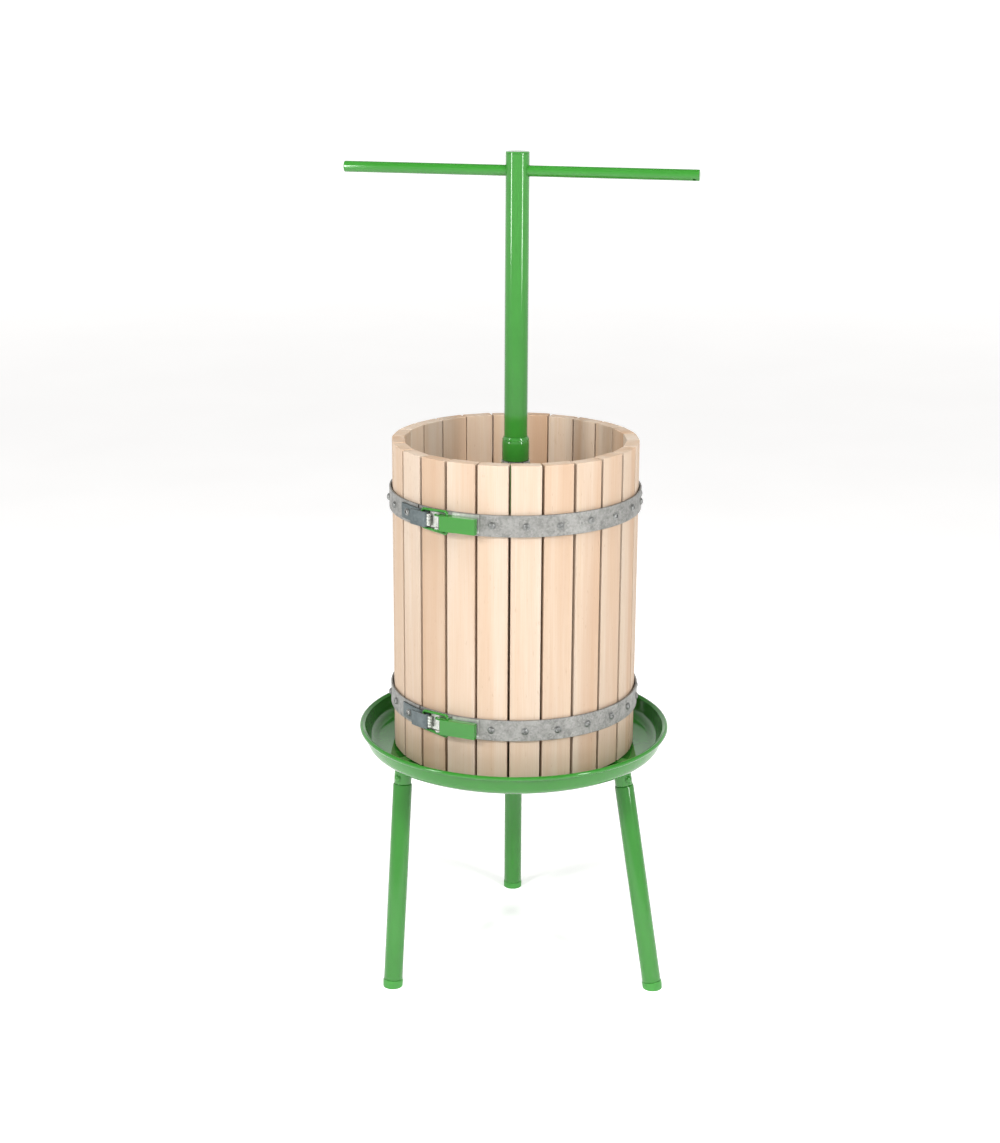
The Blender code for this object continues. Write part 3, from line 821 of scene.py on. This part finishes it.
def make_lever(level):
    """A channel of pressed steel that lies over the base; its bail hangs in the crank holes."""
    centre = LEVERS[level]
    shell = (
        circle(0.0050, 8, (0.0, 0.0), math.radians(215), math.radians(-125))
        + [(0.0, 0.0050), (0.0120, 0.0046), (0.0200, 0.0030), (LEVER_LENGTH, 0.0006)]
        + [(LEVER_LENGTH, -0.0066), (0.0042, -0.0066), (0.0034, -0.0054), (0.0, -0.0050)]
    )
    lever = prism(shell, -LEVER_HALF, LEVER_HALF)
    skin = 0.0012
    pocket = [
        (-0.02, 0.02), (LEVER_LENGTH - skin, 0.02), (LEVER_LENGTH - skin, -0.0054),
        (0.0038, -0.0054), (-0.02, -0.0054),
    ]
    holes = [(prism(pocket, skin - LEVER_HALF, LEVER_HALF - skin), IDENTITY)]
    for spot, radius in ((0.0, 0.0024), (CRANK, 0.0022)):
        bore = turned([(0.0, -0.03), (radius, -0.03), (radius, 0.03), (0.0, 0.03)], 24, False)
        holes.append((bore, Matrix.Translation((spot, 0.0, 0.0))))
    lever = solid(lever, "DIFFERENCE", holes)
    piece(
        f"lever_channel_{level}", lever, f"{level}_clasp_lever", PAINT, [f"clasp_lever_{level}"],
        centre, bevel=0.0007, angle=40,
    )


def make_bail(level):
    """The wire loop from the lever's crank to the hook, with its bent-in ends."""
    start = LEVERS[level] @ Vector((CRANK, 0.0, 0.0))
    catch = polar(*CATCH, LEVELS[level])
    reach = catch - start
    run = reach.length
    wide, narrow, corner = 0.0140, 0.0119, 0.0035
    half = [(0.0, 0.0072), (0.0, wide - corner)]
    half += [
        (corner - corner * math.cos(a), wide - corner + corner * math.sin(a))
        for a in (math.radians(15 * i) for i in range(1, 7))
    ]
    half += [(run * 0.5, (wide + narrow) / 2)]
    half += [
        (run - corner + corner * math.sin(a), narrow - corner + corner * math.cos(a))
        for a in (math.radians(15 * i) for i in range(7))
    ]
    route = half + [(x, -y) for x, y in reversed(half)]
    wire = swept([(x, 0.0, y) for x, y in route], 0.00175, 16)
    place = Matrix.Translation(start) @ Matrix.Rotation(math.atan2(reach.y, reach.x), 4, "Z")
    piece(f"bail_wire_{level}", wire, f"{level}_clasp_bail", PAINT, [f"clasp_bail_{level}"], place)


LEVERS = {
    level: Matrix.Translation(polar(PIVOT_DISTANCE, PIVOT_AZIMUTH, z)) @ turn(PIVOT_AZIMUTH + LEVER_TILT)
    for level, z in LEVELS.items()
}


# ---------------------------------------------------------------- screw press
def thread(radius, root, pitch, bottom, top, sides=28):
    """A trapezoidal screw thread around Z, cut off flat at both ends."""
    bm = bmesh.new()
    profile = [(root, 0.00), (root, 0.32), (radius, 0.44), (radius, 0.76), (root, 0.88)]
    turns = math.ceil((top - bottom) / pitch) + 1
    columns = []
    for step in range(turns * sides + 1):
        angle = 2 * math.pi * step / sides
        base = bottom - pitch + pitch * step / sides
        columns.append([
            bm.verts.new((r * math.cos(angle), r * math.sin(angle), base + share * pitch))
            for r, share in profile
        ])
    for first, second in zip(columns, columns[1:]):
        for j in range(len(profile) - 1):
            bm.faces.new((first[j], second[j], second[j + 1], first[j + 1]))
    for index in range(len(columns) - sides - 1):
        first, second = columns[index], columns[index + 1]
        upper, further = columns[index + sides], columns[index + sides + 1]
        bm.faces.new((first[-1], second[-1], further[0], upper[0]))
    for vert in bm.verts:
        vert.co.z = min(max(vert.co.z, bottom), top)
    bmesh.ops.remove_doubles(bm, verts=bm.verts, dist=1e-6)
    bmesh.ops.dissolve_degenerate(bm, edges=bm.edges, dist=1e-7)
    bmesh.ops.recalc_face_normals(bm, faces=bm.faces)
    return bm


def make_spindle():
    """The fixed spindle: plain shank, thread, and the flange and nut that clamp it to the pan."""
    foot, head = low("spindle").z, high("spindle").z
    root = 0.0082
    pitch = 0.006
    cut = PAN_FLOOR + 0.018
    shank = turned([
        (0.0, foot), (0.0102, foot), (SPINDLE_RADIUS, foot + 0.001), (SPINDLE_RADIUS, cut), (0.0, cut),
    ], 48, False)
    core = turned([
        (0.0, cut), (root + 0.0001, cut), (root + 0.0001, head - 0.0004), (root - 0.001, head), (0.0, head),
    ], 28, False)
    screw = thread(SPINDLE_RADIUS, root, pitch, cut, head - 0.0010)
    whole = merged([(shank, IDENTITY), (core, IDENTITY), (screw, IDENTITY)])
    piece("threaded_spindle", whole, "stand", STEEL, ["spindle"])

    bottom, top = low("spindle_flange").z, high("spindle_flange").z
    eye = SPINDLE_RADIUS + GAP
    flange = turned([
        (eye, bottom), (0.0360, bottom), (0.0360, top - 0.0012), (0.0352, top), (eye, top),
    ], 64)
    piece("flange_disc", flange, "stand", STEEL, ["spindle_flange"])
    under, over = low("spindle_nut").z, high("spindle_nut").z
    nut = prism(circle(0.0196, 6), under, over)
    hole = prism(circle(eye, 32), under - 0.01, over + 0.01)
    nut = solid(nut, "DIFFERENCE", [(hole, IDENTITY)])
    piece("hex_nut", nut, "stand", DARK_ZINC, ["spindle_nut"], bevel=0.0009)


def make_column():
    """The column: threaded nut, weld, drilled tube and cap, with the sliding bar through it."""
    eye = SPINDLE_RADIUS + GAP
    nut = turned([
        (eye, NUT_LOW), (0.0162, NUT_LOW), (0.0172, NUT_LOW + 0.0004), (NUT_RADIUS, NUT_LOW + 0.0014),
        (NUT_RADIUS, NUT_HIGH - 0.0095), (0.0174, NUT_HIGH - 0.0070), (0.0166, NUT_HIGH - 0.0040),
        (0.0158, NUT_HIGH - 0.0008), (0.0154, NUT_HIGH), (eye, NUT_HIGH),
    ], 64)
    piece("column_nut", nut, "press_screw", PAINT, ["press_nut"], angle=50)
    bead = weld_bead(0.0157, 0.0014, 11.0, 160)
    seam = Matrix.Translation((0.0, 0.0, NUT_HIGH - 0.0045))
    piece("column_weld", bead, "press_screw", PAINT, (), seam)

    foot, top = low("press_tube").z, high("press_tube").z
    inside = TUBE_RADIUS - TUBE_WALL
    tube = turned([(inside, foot), (TUBE_RADIUS, foot), (TUBE_RADIUS, top), (inside, top)], 72)
    sideways = Matrix.Translation((0.0, 0.0, BAR_Z)) @ turn(BAR_AZIMUTH)
    sideways = sideways @ Matrix.Rotation(math.pi / 2, 4, "Y")
    bore = BAR_RADIUS + GAP
    reach = 0.05
    hole = turned([(0.0, -reach), (bore, -reach), (bore, reach), (0.0, reach)], 40, False)
    tube = solid(tube, "DIFFERENCE", [(hole, sideways)])
    piece("column_tube", tube, "press_screw", PAINT, ["press_tube"])
    cap = turned([
        (0.0, top - 0.005), (0.0120, top - 0.005), (0.0120, top + GAP), (TUBE_RADIUS, top + GAP),
        (TUBE_RADIUS, TUBE_TOP - 0.0009), (TUBE_RADIUS - 0.0003, TUBE_TOP - 0.0003),
        (TUBE_RADIUS - 0.0010, TUBE_TOP), (0.0, TUBE_TOP),
    ], 72, False)
    piece("column_cap", cap, "press_screw", PAINT, ["tube_cap"])

    end = 0.225
    offset = 0.002
    bar = turned([
        (0.0, offset - end), (BAR_RADIUS - 0.0010, offset - end),
        (BAR_RADIUS - 0.0003, offset - end + 0.0003), (BAR_RADIUS, offset - end + 0.0010),
        (BAR_RADIUS, offset + end - 0.0010), (BAR_RADIUS - 0.0003, offset + end - 0.0003),
        (BAR_RADIUS - 0.0010, offset + end), (0.0, offset + end),
    ], 40, False)
    pin_hole = turned([(0.0, -0.02), (0.0020, -0.02), (0.0020, 0.02), (0.0, 0.02)], 24, False)
    drill = (
        Matrix.Translation((0.0, 0.0, offset + end - 0.006))
        @ Matrix.Rotation(math.radians(50), 4, "Z") @ Matrix.Rotation(math.pi / 2, 4, "X")
    )
    bar = solid(bar, "DIFFERENCE", [(pin_hole, drill)])
    piece("cross_bar", bar, "handle_bar", PAINT, ["handle_bar"], sideways)


def make_plate():
    """The pressing plate's two wooden halves, the hub that bears on them and its washer."""
    under, over = low("press_plate_front").z, high("press_plate_front").z
    slit = 0.001
    eye = 0.0130
    radius = 0.137
    for side, centre, tone, shift in (("front", 0.0, 0.4, 3.1), ("rear", 180.0, 0.8, -5.7)):
        rim = math.degrees(math.asin(slit / radius))
        ring = math.degrees(math.asin(slit / eye))
        outline = arc(radius, centre - 90 + rim, centre + 90 - rim, 2.5)
        outline += arc(eye, centre + 90 - ring, centre - 90 + ring, 12.0)
        upright = Matrix.Rotation(math.pi / 2, 4, "X")
        half = prism(outline, under, over)
        half.transform(upright)
        piece(
            f"plate_half_{side}", half, "press_plate", PLATE_BEECH, [f"press_plate_{side}"],
            upright.inverted(), bevel=0.0016, tone=tone, shift=shift,
        )
    bottom, top = low("pressure_hub").z, high("pressure_hub").z
    clear = SPINDLE_RADIUS + 2 * GAP
    hub = turned([
        (clear, bottom), (0.0550, bottom), (0.0550, bottom + 0.0036), (0.0541, bottom + 0.0045),
        (0.0225, bottom + 0.0058), (0.0202, bottom + 0.0070), (0.0190, bottom + 0.0100),
        (0.0190, top - 0.0010), (0.0180, top), (clear, top),
    ], 72)
    piece("hub_casting", hub, "press_plate", PAINT, ["pressure_hub"], angle=50)
    low_face, high_face = low("thrust_washer").z, high("thrust_washer").z
    edge = high("thrust_washer").x
    washer = turned([
        (clear, low_face), (edge - 0.0006, low_face), (edge, low_face + 0.0006),
        (edge, high_face - 0.0006), (edge - 0.0006, high_face), (clear, high_face),
    ], 64)
    groove = [(-0.0011, -0.004), (0.0011, -0.004), (0.0011, 0.004), (-0.0011, 0.004)]
    notches = []
    for index in range(12):
        azimuth = 30.0 * index
        spot = Matrix.Translation(polar(edge, azimuth, 0.0)) @ turn(azimuth)
        notches.append((prism(groove, low_face + 0.0012, high_face + 0.001), spot))
    washer = solid(washer, "DIFFERENCE", notches)
    piece("bearing_washer", washer, "press_plate", BRIGHT_ZINC, ["thrust_washer"], angle=40)


# ---------------------------------------------------------------- studio
# name, azimuth, distance, height, height aimed at, width, length, watts, mirrored in the pieces
LAMPS = (
    ("key_left", -36.0, 4.0, 3.30, 0.70, 0.45, 0.45, 106.0, False),
    ("key_right", 38.0, 4.0, 3.30, 0.70, 0.45, 0.45, 96.0, False),
    ("overhead", 0.0, 0.9, 3.00, 0.70, 1.00, 1.00, 42.0, False),
    ("strip_left", -59.0, 1.9, 1.20, 1.20, 0.18, 1.0, 15.0, True),
    ("strip_right", 51.0, 1.9, 1.15, 1.15, 0.18, 1.0, 14.0, True),
)
FLOOR_RADIUS = 150.0
HORIZON = (1.0, 1.0, 1.0, 1.0)
ZENITH = (0.18, 0.17, 0.16, 1.0)


def make_studio():
    """A white floor, a sky that darkens overhead, two key lamps, a top light and two thin strips."""
    bm = bmesh.new()
    bmesh.ops.create_circle(bm, cap_ends=True, radius=FLOOR_RADIUS, segments=64)
    mesh = bpy.data.meshes.new("floor")
    bm.to_mesh(mesh)
    bm.free()
    mesh.materials.append(floor_look())
    ground = bpy.data.objects.new("floor", mesh)
    bpy.context.scene.collection.objects.link(ground)

    world = bpy.data.worlds.new("studio")
    world.use_nodes = True
    tree = world.node_tree
    heading = tree.nodes.new("ShaderNodeTexCoord").outputs["Generated"]
    height = tree.nodes.new("ShaderNodeSeparateXYZ")
    tree.links.new(heading, height.inputs["Vector"])
    sky = tree.nodes.new("ShaderNodeValToRGB")
    tree.links.new(height.outputs["Z"], sky.inputs["Fac"])
    sky.color_ramp.elements[0].color = HORIZON
    sky.color_ramp.elements[0].position = 0.30
    sky.color_ramp.elements[1].color = ZENITH
    sky.color_ramp.elements[1].position = 0.60
    tree.links.new(sky.outputs["Color"], tree.nodes["Background"].inputs["Color"])
    bpy.context.scene.world = world

    for name, azimuth, distance, height, aim, width, tall, power, mirrored in LAMPS:
        lamp = bpy.data.lights.new(name, "AREA")
        lamp.shape = "RECTANGLE"
        lamp.size = width
        lamp.size_y = tall
        lamp.energy = power
        lit = bpy.data.objects.new(name, lamp)
        spot = polar(distance, azimuth, height)
        lit.location = spot
        lit.rotation_euler = (Vector((0.0, 0.0, aim)) - spot).to_track_quat("-Z", "Y").to_euler()
        lit.visible_camera = False
        lit.visible_glossy = mirrored
        bpy.context.scene.collection.objects.link(lit)

    bpy.context.scene.view_settings.view_transform = "Standard"


EYE = (0.0, -2.6049, RIM_Z + 0.9696)
LOOK = (-0.00713, 0.95972, -0.28086)
ROLL = 0.278


def make_camera():
    """The camera stands 2.6 m in front of the column, a little higher than its top."""
    lens = bpy.data.cameras.new("camera")
    lens.lens = 65.25
    lens.sensor_width = 36.0
    eye = bpy.data.objects.new("camera", lens)
    ahead = Vector(LOOK).normalized()
    right = ahead.cross(Vector((0.0, 0.0, 1.0))).normalized()
    upward = right.cross(ahead)
    roll = math.radians(ROLL)
    side = right * math.cos(roll) + upward * math.sin(roll)
    head = upward * math.cos(roll) - right * math.sin(roll)
    eye.matrix_world = Matrix.Translation(EYE) @ Matrix((side, head, -ahead)).transposed().to_4x4()
    bpy.context.scene.collection.objects.link(eye)
    bpy.context.scene.camera = eye


make_camera()
make_studio()
make_pan()
for leg_side, leg_azimuth in LEG_SIDES.items():
    make_leg(leg_side, leg_azimuth)
make_slats()
for order, hoop_level in enumerate(LEVELS):
    make_hoop(hoop_level, order)
    make_hinge(hoop_level)
    make_hook(hoop_level)
    make_bracket(hoop_level)
    make_lever(hoop_level)
    make_bail(hoop_level)
make_spindle()
make_column()
make_plate()
